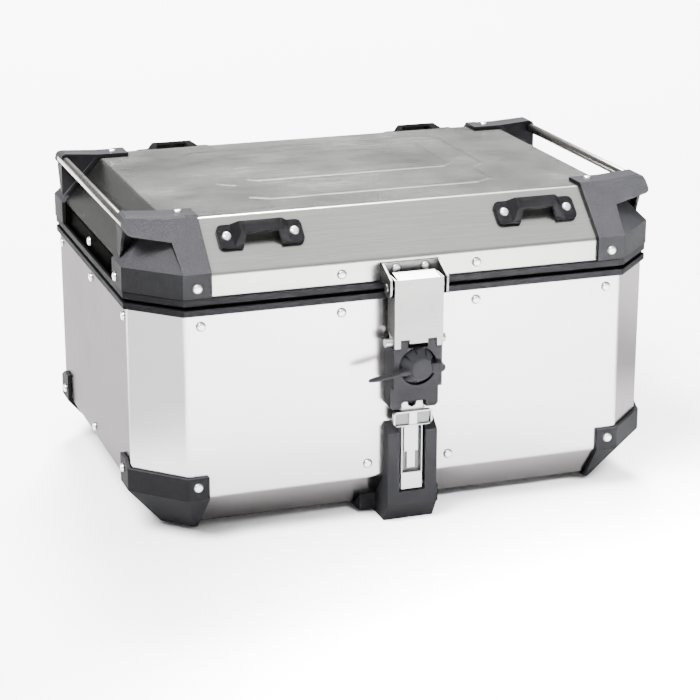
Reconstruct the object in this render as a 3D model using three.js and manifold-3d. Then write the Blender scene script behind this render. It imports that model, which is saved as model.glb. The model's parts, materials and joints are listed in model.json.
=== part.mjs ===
// Aluminium motorcycle top case: a riveted sheet tub with a hinged lid, nylon rims and corner
// protectors, two side rails, four tie-down loops, a hasp with a key lock, and a release lever that
// frees the case from its rack.
// Millimetres. +X to the right and +Y to the back, seen from the latch side; +Z up.
// Origin: centre of the rack plate's underside, which is the plane that the case stands on.
import * as THREE from "three";
import { mergeVertices } from "three/addons/utils/BufferGeometryUtils.js";
import { ConvexGeometry } from "three/addons/geometries/ConvexGeometry.js";
import Module from "manifold-3d";

const wasm = await Module();
wasm.setup();

// ---------------------------------------------------------------- driving dimensions
const GAP = 0.3; // clearance between pieces that rest on each other
const SIDES = 20; // facets of an ordinary round piece

const shell = { width: 560, depth: 409.8, corner: 46.9, sheet: 2, bottom: 9.5, top: 245 };
const flare = { height: 40.8, inset: 36.5 }; // the sloped band round the tub's bottom
const seam = { height: 248.6, gap: 4, rim: 6.8, overhang: 3.2, lip: 8.5 };
const lid = { bandTop: 281.2, top: 325, halfWidth: 237.7, halfDepth: 156.3, corner: 22 };
const skin = 4; // how far a corner protector stands out from the sheet
const rail = { radius: 5, wall: 1, x: 276, z: 323.5, end: 150 };
const hinge = { y: 214, x: 150, knuckle: 4.8, pin: 2.4, leafWidth: 58, middle: 20 };
const latch = { halfWidth: 25.8, stand: 28, sheet: 1.5, pivotStand: 20, pivotZ: 255.4 };
const hook = { pinStand: 16, pinZ: 197.4, pinRadius: 4.3, pinEnd: 32, cheek: 20 };
const lock = { halfWidth: 25.9, stand: 26, bottom: 150.3, top: 192.6, centreZ: 173 };
const foot = { halfWidth: 26, stand: 16, bottom: 125.5, corner: 3 }; // the lock body's narrower foot
const housing = { halfWidth: 26.8, stand: 13, slot: 14, slotBottom: 34, shoulder: 99 };
const lever = { halfWidth: 11.4, pivotZ: 40, pivotStand: 6.5, top: 130.5, headHalf: 21 };
const rack = { halfWidth: 95, tongue: 26, front: -171.5, wide: -130, back: 150, thick: 9.2, corner: 20 };
const rivet = { radius: 4.7, height: 2.4 };

const front = -shell.depth / 2; // y of the tub's front face
const rear = -front;
const side = shell.width / 2;
const seamLow = seam.height - seam.gap / 2; // top of the lower rim
const seamHigh = seam.height + seam.gap / 2; // underside of the upper rim
const rimLow = seamLow - seam.rim;
const rimHigh = seamHigh + seam.rim;

// ---------------------------------------------------------------- materials
const finish = (color, roughness, metalness) =>
  new THREE.MeshStandardMaterial({ color, roughness, metalness });
const aluminium = () => finish(0xc9cacb, 0.38, 1);
const nylon = () => finish(0x2f2f32, 0.62, 0);
const stainless = () => finish(0xcfcfce, 0.25, 1);
const zinc = () => finish(0xc4c6c6, 0.42, 1);
const rubber = () => finish(0x1c1c1d, 0.85, 0);
const webbing = () => finish(0x202022, 0.9, 0);

// ---------------------------------------------------------------- solids
const v = (x, y, z) => new THREE.Vector3(x, y, z);

function solidOf(geometry) {
  const bare = geometry.index ? geometry.toNonIndexed() : geometry.clone();
  const shape = new THREE.BufferGeometry().setAttribute("position", bare.getAttribute("position"));
  const merged = mergeVertices(shape, 1e-4);
  return new wasm.Manifold(
    new wasm.Mesh({
      numProp: 3,
      vertProperties: new Float32Array(merged.attributes.position.array),
      triVerts: new Uint32Array(merged.index.array),
    }),
  );
}

function geometryOf(solid) {
  const mesh = solid.getMesh();
  const geometry = new THREE.BufferGeometry();
  geometry.setAttribute("position", new THREE.BufferAttribute(mesh.vertProperties, mesh.numProp));
  geometry.setIndex(new THREE.BufferAttribute(mesh.triVerts, 1));
  geometry.computeVertexNormals();
  return geometry;
}

const join = (...solids) => solids.reduce((sum, solid) => sum.add(solid));
const cut = (solid, ...tools) => tools.reduce((left, tool) => left.subtract(tool), solid);
const hull = (points) => solidOf(new ConvexGeometry(points));

// Box between two corners.
function box(low, high) {
  const size = high.map((value, i) => value - low[i]);
  const middle = high.map((value, i) => (value + low[i]) / 2);
  return solidOf(new THREE.BoxGeometry(...size).translate(...middle));
}

// Round bar between two points on a line parallel to an axis.
function rod(radius, from, to, sides = SIDES) {
  const start = v(...from);
  const along = v(...to).sub(start);
  const geometry = new THREE.CylinderGeometry(radius, radius, along.length(), sides);
  const turn = new THREE.Quaternion().setFromUnitVectors(v(0, 1, 0), along.clone().normalize());
  geometry.applyQuaternion(turn);
  const middle = start.add(along.multiplyScalar(0.5));
  return solidOf(geometry.translate(middle.x, middle.y, middle.z));
}

function extrude(outline, depth) {
  const shape = new THREE.Shape(outline.map(([a, b]) => new THREE.Vector2(a, b)));
  return new THREE.ExtrudeGeometry(shape, { depth, bevelEnabled: false });
}

// Outline in (y, z), carried along X.
function prismX(outline, low, high) {
  const geometry = extrude(outline, high - low);
  const turn = new THREE.Matrix4().makeBasis(v(0, 1, 0), v(0, 0, 1), v(1, 0, 0));
  return solidOf(geometry.applyMatrix4(turn).translate(low, 0, 0));
}

// Outline in (x, z), carried along Y.
function prismY(outline, low, high) {
  const geometry = extrude(outline, high - low);
  return solidOf(geometry.rotateX(Math.PI / 2).translate(0, high, 0));
}

// Outline in (x, y), carried along Z.
function prismZ(outline, low, high) {
  return solidOf(extrude(outline, high - low).translate(0, 0, low));
}

// Solid of revolution about an axis parallel to Y; profile in (radius, distance forward of y).
function turnedY(profile, x, y, z, sides = SIDES) {
  const points = profile.map(([radius, out]) => new THREE.Vector2(radius, out));
  const geometry = new THREE.LatheGeometry(points, sides);
  return solidOf(geometry.rotateX(Math.PI).translate(x, y, z));
}

// Rectangle with its four corners cut at 45 degrees, as eight points at height z.
function octagon(halfX, halfY, corner, z) {
  const quarter = [
    [halfX, halfY - corner],
    [halfX - corner, halfY],
  ];
  const flip = quarter.map(([x, y]) => [-x, y]).reverse();
  const half = [...quarter, ...flip];
  return [...half, ...half.map(([x, y]) => [-x, -y])].map(([x, y]) => v(x, y, z));
}

// The case's plan outline, moved inwards by inset.
const CORNER_SHRINK = 2 - Math.SQRT2;
const plan = (inset, z) =>
  octagon(side - inset, rear - inset, shell.corner - CORNER_SHRINK * inset, z);

// The lid top's outline, moved inwards by inset.
const planTop = (inset, z) =>
  octagon(lid.halfWidth - inset, lid.halfDepth - inset, lid.corner - CORNER_SHRINK * inset, z);

// Skins a stack of rings with equal point counts. A stack that doesn't close on itself is capped.
function ringSolid(rings, closed) {
  const count = rings[0].length;
  const positions = [];
  const triangle = (...corners) => corners.forEach((p) => positions.push(p.x, p.y, p.z));
  const last = closed ? rings.length : rings.length - 1;
  for (let r = 0; r < last; r++) {
    const low = rings[r];
    const high = rings[(r + 1) % rings.length];
    for (let i = 0; i < count; i++) {
      const j = (i + 1) % count;
      triangle(low[i], low[j], high[j]);
      triangle(low[i], high[j], high[i]);
    }
  }
  if (!closed) {
    const [bottom, top] = [rings[0], rings[rings.length - 1]];
    for (let i = 1; i < count - 1; i++) {
      triangle(bottom[0], bottom[i + 1], bottom[i]);
      triangle(top[0], top[i], top[i + 1]);
    }
  }
  const geometry = new THREE.BufferGeometry();
  geometry.setAttribute("position", new THREE.Float32BufferAttribute(positions, 3));
  const solid = solidOf(geometry);
  if (solid.volume() > 0) return solid;
  for (let i = 0; i < positions.length; i += 9) {
    for (let k = 0; k < 3; k++) {
      [positions[i + 3 + k], positions[i + 6 + k]] = [positions[i + 6 + k], positions[i + 3 + k]];
    }
  }
  geometry.setAttribute("position", new THREE.Float32BufferAttribute(positions, 3));
  return solidOf(geometry);
}

// ---------------------------------------------------------------- scene graph
const root = new THREE.Group();
function add(name, solid, material) {
  const mesh = new THREE.Mesh(geometryOf(solid), material);
  mesh.name = name;
  root.add(mesh);
  return mesh;
}

// A piece made at the front left corner, with its mirror images at the other corners.
const CORNERS = [
  ["front_left", 1, 1],
  ["front_right", -1, 1],
  ["rear_left", 1, -1],
  ["rear_right", -1, -1],
];
function addAtCorners(name, solid, material) {
  for (const [place, flipX, flipY] of CORNERS) {
    add(`${name}_${place}`, solid, material()).scale.set(flipX, flipY, 1);
  }
}

// A piece made on the left, with its mirror image on the right.
function addPair(name, solid, material) {
  add(`${name}_left`, solid, material());
  add(`${name}_right`, solid, material()).scale.set(-1, 1, 1);
}

// ---------------------------------------------------------------- tub
// The flare's inner face runs parallel to its outer one, one sheet inwards.
const flareLength = Math.hypot(flare.height, flare.inset);
const flareSlope = flare.inset / flare.height;
const innerInset = flare.inset + (shell.sheet * flare.height) / flareLength;
const innerZ = shell.bottom + (shell.sheet * flare.inset) / flareLength;
const floorZ = shell.bottom + shell.sheet;
const floorInset = innerInset - (floorZ - innerZ) * flareSlope;
const innerFlareTop = innerZ + (innerInset - shell.sheet) / flareSlope;

add(
  "base_shell",
  ringSolid([
    plan(flare.inset, shell.bottom),
    plan(0, shell.bottom + flare.height),
    plan(0, shell.top),
    plan(shell.sheet, shell.top),
    plan(shell.sheet, innerFlareTop),
    plan(floorInset, floorZ),
  ]),
  aluminium(),
);

// The tub's outer shape grown by a margin; what fits against the tub is cut back to it.
function tubGrown(margin) {
  return ringSolid([
    plan(flare.inset - margin, shell.bottom - margin),
    plan(-margin, shell.bottom + flare.height - margin * 0.4),
    plan(-margin, shell.top),
  ]);
}
const tubClear = tubGrown(GAP);

// ---------------------------------------------------------------- lid shell
const topSheet = shell.sheet * 1.4; // the sloped sheet's thickness, measured level
add(
  "lid_shell",
  ringSolid([
    planTop(topSheet, lid.top - shell.sheet),
    plan(shell.sheet, lid.bandTop - shell.sheet * 0.4),
    plan(shell.sheet, seamHigh + 1.6),
    plan(0, seamHigh + 1.6),
    plan(0, lid.bandTop),
    planTop(0, lid.top),
  ]),
  aluminium(),
);

function lidGrown(margin, bottom) {
  return ringSolid([
    plan(-margin, bottom),
    plan(-margin, lid.bandTop + margin * 0.4),
    planTop(-margin * 0.45, lid.top + margin),
  ]);
}
const lidClear = lidGrown(GAP, seamHigh);

// ---------------------------------------------------------------- rims and seal
const rimCap = 1.3; // web that closes a rim over the sheet's edge
const groove = shell.sheet + GAP; // far side of the groove that holds the sheet
const bead = { outer: 4, inner: 6.6, top: 2.1, skirt: 14.6 };
const channel = { outer: 3.4, inner: 7.2, depth: 4 };
const ringLoop = (profile) => ringSolid(profile.map(([inset, z]) => plan(inset, z)), true);

add(
  "lower_rim",
  ringLoop([
    [-seam.overhang, rimLow],
    [-seam.overhang, seamLow],
    [bead.outer, seamLow],
    [bead.outer + 0.6, seamLow + bead.top],
    [bead.inner - 0.6, seamLow + bead.top],
    [bead.inner, seamLow],
    [seam.lip, seamLow],
    [seam.lip, seamLow - bead.skirt],
    [groove, seamLow - bead.skirt],
    [groove, seamLow - rimCap],
    [-GAP, seamLow - rimCap],
    [-GAP, rimLow],
  ]),
  nylon(),
);

add(
  "upper_rim",
  ringLoop([
    [-seam.overhang, seamHigh],
    [-seam.overhang, rimHigh],
    [-GAP, rimHigh],
    [-GAP, seamHigh + rimCap],
    [groove, seamHigh + rimCap],
    [groove, seamHigh + 11.4],
    [seam.lip, seamHigh + 11.4],
    [seam.lip, seamHigh],
    [channel.inner, seamHigh],
    [channel.inner, seamHigh + channel.depth],
    [channel.outer, seamHigh + channel.depth],
    [channel.outer, seamHigh],
  ]),
  nylon(),
);

const sealLow = seamLow + bead.top + GAP;
const sealHigh = seamHigh + channel.depth - GAP;
add(
  "lid_seal",
  ringLoop([
    [channel.outer + GAP, sealLow],
    [channel.outer + GAP, sealHigh],
    [channel.inner - GAP, sealHigh],
    [channel.inner - GAP, sealLow],
  ]),
  rubber(),
);

// ---------------------------------------------------------------- corner protectors of the tub
// A skin over the tub's corner, kept where it lies inside these outlines.
const guard = { edgeX: -212, edgeY: -128, top: 72, tab: 79, bottom: 5 };
const FAR = 400;
const guardFront = prismY(
  [
    [-FAR, guard.bottom],
    [guard.edgeX - 4, guard.bottom],
    [guard.edgeX, shell.bottom + flare.height],
    [guard.edgeX, guard.top],
    [-FAR, guard.top],
  ],
  -FAR,
  front + shell.corner,
);
const guardSide = prismX(
  [
    [-FAR, guard.bottom],
    [guard.edgeY - 6, guard.bottom],
    [guard.edgeY, shell.bottom + flare.height],
    [guard.edgeY, guard.tab],
    [guard.edgeY - 18, guard.tab],
    [front + shell.corner, guard.top],
    [-FAR, guard.top],
  ],
  -FAR,
  -side + shell.corner,
);
// Plan outline that ends the protector's lip under the tub, parallel to the corner.
const guardPlan = prismZ(
  [
    [-FAR, -FAR],
    [guard.edgeX, -FAR],
    [guard.edgeX, -150],
    [-234, guard.edgeY],
    [-FAR, guard.edgeY],
  ],
  0,
  guard.tab,
);
const guardSkin = cut(tubGrown(skin), tubClear);
addAtCorners("corner_guard", guardSkin.intersect(join(guardFront, guardSide)).intersect(guardPlan), nylon);

// ---------------------------------------------------------------- corner protectors of the lid
// The front slope's plane, moved out along its normal: y at a height z.
const slopeRun = (rear - lid.halfDepth) / (lid.top - lid.bandTop);
const slopeLength = Math.hypot(rear - lid.halfDepth, lid.top - lid.bandTop);
const slopeUp = v(0, rear - lid.halfDepth, lid.top - lid.bandTop).divideScalar(slopeLength);
const slopeOut = v(0, -slopeUp.z, slopeUp.y);
const slopeY = (z, stand) => -lid.halfDepth - (lid.top - z) * slopeRun - stand / slopeUp.z;

const cap = { edgeX: -208, edgeTopX: -205.6, edgeY: -119, topEdgeY: -131, bottom: rimHigh + 0.6 };
const arm = {
  end: -280.5,
  top: 332,
  tabTop: 329,
  lowOuter: 316.5,
  lowInner: 308.5,
  back: -131,
  round: 5,
  facet: 2,
  foldX: -234,
  sideBack: 18,
  shoulder: 24,
};
const capSkin = cut(lidGrown(skin, cap.bottom), lidClear);
const capFront = prismY(
  [
    [-FAR, cap.bottom],
    [cap.edgeX, cap.bottom],
    [cap.edgeX, lid.bandTop],
    [cap.edgeTopX, arm.tabTop],
    [-FAR, arm.tabTop],
  ],
  -FAR,
  front + shell.corner,
);
const capSide = prismX(
  [
    [-FAR, cap.bottom],
    [cap.edgeY, cap.bottom],
    [cap.edgeY, lid.bandTop],
    [cap.topEdgeY + 6, lid.bandTop + 6],
    [cap.topEdgeY, arm.tabTop],
    [-FAR, arm.tabTop],
  ],
  -FAR,
  cap.edgeTopX,
);
// Horn that reaches out over the side slope and holds the rail's end. Its outline in (x, z) is
// carried from the front slope back to the web, with the long upper edge broken by a narrow facet.
const hornOutline = [
  [-lid.halfWidth, arm.tabTop],
  [arm.end + arm.round, arm.top],
  [arm.end + arm.round * 0.3, arm.top - arm.round * 0.35],
  [arm.end, arm.top - arm.round],
  [arm.end, arm.lowOuter + arm.round * 0.7],
  [arm.end + arm.round * 0.3, arm.lowOuter + arm.round * 0.15],
  [arm.end + arm.round, arm.lowOuter - 1],
  [-lid.halfWidth, arm.lowInner],
];
const slopeFace = (x, z, facet) =>
  facet > 0
    ? [v(x, slopeY(z - facet, skin), z - facet), v(x, slopeY(z, skin) + facet, z)]
    : [v(x, slopeY(z, skin), z)];
const horn = hull(
  hornOutline.flatMap(([x, z], i) => [...slopeFace(x, z, i < 2 ? arm.facet : 0), v(x, arm.back, z)]),
);
// Shoulder that carries the front strip's flat face across to the horn and down to the band.
const shoulderOutline = [
  [cap.edgeTopX - 6, arm.tabTop],
  [-lid.halfWidth, arm.tabTop],
  [-lid.halfWidth, arm.lowInner],
  [arm.foldX, lid.bandTop + 1.4],
  [cap.edgeX - 4, lid.bandTop + 1.4],
];
const shoulder = hull(
  shoulderOutline.flatMap(([x, z], i) => [
    ...slopeFace(x, z, i < 2 ? arm.facet : 0),
    v(x, slopeY(z, skin) + arm.shoulder, z),
  ]),
);
const hornHollow = hull(
  [-262, -241].flatMap((x) => [v(x, -166, 300), v(x, -136, 300), v(x, -152, 326), v(x, -136, 326)]),
);
// Upright web behind the horn, from the side slope out to the horn's end.
const hornWeb = prismY(
  [
    [arm.end, lid.bandTop + 2],
    [arm.end, arm.top - arm.round],
    [-lid.halfWidth, arm.tabTop - 2],
    [-lid.halfWidth, lid.top - 8],
    [-side + 4, lid.bandTop - 2],
  ],
  arm.back - 4,
  arm.back,
);
// Thin outer wall that runs from the web forward to the horn's front corner.
const hornSide = prismX(
  [
    [arm.back - 1, lid.bandTop + 2],
    [arm.back - 1, arm.lowOuter + 4],
    [slopeY(arm.lowOuter, skin) + arm.sideBack, arm.lowOuter + 1],
    [front + shell.corner + arm.sideBack, lid.bandTop + 4],
  ],
  arm.end,
  arm.end + 3,
);
const railBore = rod(rail.radius + GAP, [-rail.x, -rail.end - GAP, rail.z], [-rail.x, 0, rail.z], 24);
const lidCorner = cut(
  join(capSkin.intersect(join(capFront, capSide)), shoulder, cut(horn, hornHollow), hornWeb, hornSide),
  lidClear,
  railBore,
);
addAtCorners("lid_corner", lidCorner, nylon);

// ---------------------------------------------------------------- side rails
const railProfile = [
  [rail.radius - rail.wall, -rail.end],
  [rail.radius, -rail.end],
  [rail.radius, rail.end],
  [rail.radius - rail.wall, rail.end],
  [rail.radius - rail.wall, -rail.end],
];
addPair("rail", turnedY(railProfile, -rail.x, 0, rail.z, 24), stainless);

// ---------------------------------------------------------------- tie-down loops
// Point on the front slope: x, distance up the slope from the band, height above the slope.
const onSlope = (x, up, stand) =>
  v(x, front, lid.bandTop).addScaledVector(slopeUp, up).addScaledVector(slopeOut, stand);
const loop = { x: -147, upFront: 38.6, upRear: 46, inner: 20, outer: 43.5, half: 13.6, round: 5, foot: 4 };
// The bar stands clear of the slope and has a low ridge along its middle.
const loopBar = { half: 18, low: -2, high: 11.4, back: 8.5, edge: 12.3, ridge: 13.5, neck: 16, neckEnd: 22 };
const legEnd = 29;

// Foot plate with two rounded outer corners, as points over the slope.
function footPoints(flip) {
  const arc = [-1, 1].flatMap((side) =>
    [0, 0.5, 1].map((part) => {
      const turn = (part * Math.PI) / 2;
      return [
        loop.outer - loop.round * (1 - Math.cos(turn)),
        side * (loop.half - loop.round * (1 - Math.sin(turn))),
      ];
    }),
  );
  const outline = [...arc, [loop.inner, -loop.half], [loop.inner, loop.half]];
  return outline.flatMap(([x, up]) => [GAP, loop.foot].map((stand) => [flip * x, up, stand]));
}
function legPoints(flip) {
  const top = [loopBar.neck, loopBar.neckEnd].flatMap((x) => [
    [flip * x, loopBar.low, loopBar.edge],
    [flip * x, loopBar.high, loopBar.edge],
  ]);
  const under = [loopBar.low, loopBar.high].map((up) => [flip * loopBar.neck, up, loopBar.back]);
  const base = [-loop.half, loop.half].flatMap((up) => [
    [flip * loop.inner, up, GAP],
    [flip * legEnd, up, GAP],
    [flip * legEnd, up, loop.foot],
  ]);
  return [...top, ...under, ...base];
}
const barPoints = [-loopBar.half, loopBar.half].flatMap((x) => [
  [x, loopBar.low, loopBar.back],
  [x, loopBar.high, loopBar.back],
  [x, loopBar.low, loopBar.edge],
  [x, (loopBar.low + loopBar.high) / 2, loopBar.ridge],
  [x, loopBar.high, loopBar.edge],
]);
function tieDownLoop(up) {
  const parts = [footPoints(1), footPoints(-1), legPoints(1), legPoints(-1), barPoints];
  const solids = parts.map((points) => hull(points.map(([x, rise, s]) => onSlope(loop.x + x, up + rise, s))));
  return join(...solids);
}
for (const [place, flipX, flipY] of CORNERS) {
  const solid = tieDownLoop(flipY > 0 ? loop.upFront : loop.upRear);
  add(`tie_down_loop_${place}`, solid, nylon()).scale.set(flipX, flipY, 1);
}

// ---------------------------------------------------------------- rear hinges
// Each hinge has a leaf on the tub with two knuckles, a leaf on the lid with one, and a pin.
const leafHalf = hinge.leafWidth / 2;
const leafInner = rear + GAP; // a leaf's back face
const rimClear = rear + seam.overhang + GAP + 0.2; // where a leaf passes outside the rims
const barrel = (from, to) =>
  rod(hinge.knuckle, [hinge.x + from, hinge.y, seam.height], [hinge.x + to, hinge.y, seam.height]);
function leafPlate(flip, reach) {
  // Cranked strip in (y, z): flat on the sheet, then stepped out over the rim to the barrel.
  const z = (distance) => seam.height + flip * distance;
  const outline = [
    [leafInner, z(reach)],
    [leafInner, z(13)],
    [rimClear, z(9.6)],
    [rimClear, z(0)],
    [hinge.y, z(0)],
    [hinge.y, z(4.8)],
    [rimClear + 2.6, z(6)],
    [rimClear + 2.6, z(11.4)],
    [leafInner + 2.6, z(15)],
    [leafInner + 2.6, z(reach)],
  ];
  return prismX(flip > 0 ? outline.reverse() : outline, hinge.x - leafHalf, hinge.x + leafHalf);
}
const hingeLine = (radius, reach) =>
  rod(radius, [hinge.x - reach, hinge.y, seam.height], [hinge.x + reach, hinge.y, seam.height]);
const pinBore = hingeLine(hinge.pin + 0.2, FAR);
const around = (from, to) =>
  box(
    [hinge.x + from, leafInner - 1, seam.height - hinge.knuckle - GAP],
    [hinge.x + to, hinge.y + FAR, seam.height + hinge.knuckle + GAP],
  );
const middle = hinge.middle / 2;
const lowPart = box([hinge.x - FAR, 0, 0], [hinge.x + FAR, FAR, seam.height + 0.01]);
const highPart = box([hinge.x - FAR, 0, seam.height - 0.01], [hinge.x + FAR, FAR, FAR]);
const tubLeaf = cut(
  join(leafPlate(-1, 42).intersect(lowPart), barrel(-leafHalf, leafHalf)),
  around(-middle - GAP, middle + GAP),
  pinBore,
);
const lidPlate = cut(leafPlate(1, 30).intersect(highPart), around(-FAR, -middle), around(middle, FAR));
const lidLeaf = cut(join(lidPlate, barrel(-middle, middle)), pinBore);
const hingePin = hingeLine(hinge.pin, leafHalf);
for (const [place, flip] of [["left", -1], ["right", 1]]) {
  add(`hinge_leaf_tub_${place}`, tubLeaf, stainless()).scale.set(flip, 1, 1);
  add(`hinge_leaf_lid_${place}`, lidLeaf, stainless()).scale.set(flip, 1, 1);
  add(`hinge_pin_${place}`, hingePin, stainless()).scale.set(flip, 1, 1);
}

// ---------------------------------------------------------------- latch bracket on the lid
const out = (stand) => front - stand; // y of a plane that stands out from the tub's front face
const bracket = { half: 30.8, ear: 2, plateLow: rimHigh + 0.6, plateHigh: 276 };
const bracketPlate = box(
  [-bracket.half, out(GAP + 2), bracket.plateLow],
  [bracket.half, out(GAP), bracket.plateHigh],
);
const earOutline = [
  [out(GAP), bracket.plateHigh],
  [out(GAP), bracket.plateLow],
  [out(8), bracket.plateLow],
  [out(12), 249],
  [out(16), 246.2],
  [out(20), 245.4],
  [out(24), 246.2],
  [out(27.4), 249],
  [out(28.4), 252],
  [out(28.4), 265],
  [out(4), bracket.plateHigh],
];
const ears = [-bracket.half, bracket.half - bracket.ear].map((x) => prismX(earOutline, x, x + bracket.ear));
const pivotLine = (radius, reach) =>
  rod(radius, [-reach, out(latch.pivotStand), latch.pivotZ], [reach, out(latch.pivotStand), latch.pivotZ]);
add("latch_bracket", cut(join(bracketPlate, ...ears), pivotLine(2.5 + GAP, FAR)), stainless());
const pivotHeads = cut(pivotLine(4, bracket.half + GAP + 1.6), pivotLine(5, bracket.half + GAP));
add("latch_pivot_pin", join(pivotLine(2.5, bracket.half + 1), pivotHeads), stainless());

// ---------------------------------------------------------------- latch plate (the hasp)
const hasp = { flapHalf: 22.4, bottom: 193.6, middle: 197.8, top: 264.6, flapTop: 268, notchTop: 202 };
const tab = { inner: 10.5, outer: 18.5, top: 200.6 }; // lugs of the lock body, seen in the notches
const haspOutline = [
  [-latch.halfWidth, hasp.bottom],
  [-tab.outer - 0.8, hasp.bottom],
  [-tab.outer - 0.8, hasp.notchTop],
  [-tab.inner + 0.8, hasp.notchTop],
  [-tab.inner + 0.8, hasp.middle],
  [tab.inner - 0.8, hasp.middle],
  [tab.inner - 0.8, hasp.notchTop],
  [tab.outer + 0.8, hasp.notchTop],
  [tab.outer + 0.8, hasp.bottom],
  [latch.halfWidth, hasp.bottom],
  [latch.halfWidth, hasp.top],
  [-latch.halfWidth, hasp.top],
];
const haspFace = prismY(haspOutline, out(latch.stand), out(latch.stand - latch.sheet));
const haspFlap = hull(
  [-hasp.flapHalf, hasp.flapHalf].flatMap((x) => [
    v(x, out(latch.stand), hasp.top),
    v(x, out(latch.stand - 1), hasp.top - latch.sheet),
    v(x, out(10), hasp.flapTop),
    v(x, out(10), hasp.flapTop - latch.sheet),
  ]),
);
const haspSideOutline = [
  [out(latch.stand), hasp.bottom],
  [out(24.5), hasp.bottom],
  [out(24.5), 203],
  [out(7), 208],
  [out(7), 262],
  [out(11), 266],
  [out(latch.stand), hasp.top],
];
const haspSides = [-latch.halfWidth, latch.halfWidth - latch.sheet].map((x) =>
  prismX(haspSideOutline, x, x + latch.sheet),
);
add("latch_plate", cut(join(haspFace, haspFlap, ...haspSides), pivotLine(2.5 + GAP, FAR)), stainless());

// Hook behind the hasp: two cheeks with stub pins, a bridge, and the lip that the cam holds.
const cheekOutline = [
  [out(25), 222],
  [out(9), 222],
  [out(6), 204],
  [out(12), 193.8],
  [out(20), 193.8],
  [out(25), 197],
];
const innerFace = latch.halfWidth - latch.sheet - GAP;
const hookSides = [-1, 1].flatMap((flip) => {
  const [low, high] = [flip * hook.cheek, flip * innerFace].sort((a, b) => a - b);
  return [
    prismX(cheekOutline, low, high),
    rod(
      hook.pinRadius,
      [flip * (hook.cheek + 1), out(hook.pinStand), hook.pinZ],
      [flip * hook.pinEnd, out(hook.pinStand), hook.pinZ],
    ),
  ];
});
const bridge = box([-innerFace, out(25), 204], [innerFace, out(5), 206.5]);
const keeper = box([-9, out(8), 195], [9, out(5), 205]);
add("latch_hook", join(bridge, keeper, ...hookSides), zinc());

// ---------------------------------------------------------------- lock body
const barrelBore = 8.3;
const recess = { radius: 20, floor: 18 };
const camSpace = { left: -7.4, low: 166.2, back: 8, front: 12.5, radius: 24.9 };
const lockBlock = box(
  [-lock.halfWidth, out(lock.stand), lock.bottom],
  [lock.halfWidth, out(GAP), lock.top],
);
const lockFoot = prismY(
  [
    [-foot.halfWidth + foot.corner, foot.bottom],
    [foot.halfWidth - foot.corner, foot.bottom],
    [foot.halfWidth, foot.bottom + foot.corner],
    [foot.halfWidth, lock.bottom + 1],
    [-foot.halfWidth, lock.bottom + 1],
    [-foot.halfWidth, foot.bottom + foot.corner],
  ],
  out(foot.stand),
  out(GAP),
);
const lugs = [-1, 1].map((flip) => {
  const [low, high] = [flip * tab.inner, flip * tab.outer].sort((a, b) => a - b);
  return box([low, out(lock.stand), lock.top - 1], [high, out(22), tab.top]);
});
const lockLine = (radius, from, to, sides = 32) =>
  rod(radius, [0, out(from), lock.centreZ], [0, out(to), lock.centreZ], sides);
const leverNotch = prismY(
  [
    [-13.2, foot.bottom - 1],
    [13.2, foot.bottom - 1],
    [13.2, 131],
    [11, 133],
    [-11, 133],
    [-13.2, 131],
  ],
  out(foot.stand + 1),
  out(3),
);
// Room for the cam's quarter turn, from pointing right to standing up through the body's top.
const camSpaceOutline = [
  [camSpace.left, camSpace.low],
  [camSpace.radius, camSpace.low],
  ...Array.from({ length: 11 }, (_, i) => {
    const turn = (i * Math.PI) / 20;
    return [camSpace.radius * Math.cos(turn), lock.centreZ + camSpace.radius * Math.sin(turn)];
  }),
  [camSpace.left, lock.centreZ + camSpace.radius],
];
add(
  "lock_body",
  cut(
    join(lockBlock, lockFoot, ...lugs),
    lockLine(recess.radius, lock.stand + 1, recess.floor),
    lockLine(barrelBore + GAP, recess.floor + 1, camSpace.front - 1, SIDES),
    prismY(camSpaceOutline, out(camSpace.front), out(camSpace.back)),
    leverNotch,
  ),
  nylon(),
);

// Key cylinder: a stud on its inner end carries the cam.
const cam = { hub: 6.5, stud: 2.4, half: 3.4, reach: 24.4, corner: 1.4, back: 9, front: 12.2 };
const keyway = box([-0.7, out(19.6), lock.centreZ - 3.6], [0.7, out(17), lock.centreZ + 3.6]);
const stud = lockLine(cam.stud, camSpace.front + 1, cam.back - 0.7, 16);
add(
  "lock_cylinder",
  join(cut(lockLine(barrelBore, 19.3, camSpace.front + GAP), keyway), stud),
  stainless(),
);

// Cam: lies to the right while the lock is open, and swings up in front of the hook's lip.
const camArm = prismY(
  [
    [0, lock.centreZ - cam.half],
    [cam.reach - cam.corner, lock.centreZ - cam.half],
    [cam.reach, lock.centreZ - cam.half + cam.corner],
    [cam.reach, lock.centreZ + cam.half - cam.corner],
    [cam.reach - cam.corner, lock.centreZ + cam.half],
    [0, lock.centreZ + cam.half],
  ],
  out(cam.front),
  out(cam.back),
);
add(
  "lock_cam",
  cut(
    join(camArm, lockLine(cam.hub, cam.front, cam.back, 24)),
    lockLine(cam.stud + GAP, cam.front + 1, cam.back - 1, 16),
  ),
  zinc(),
);

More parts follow.
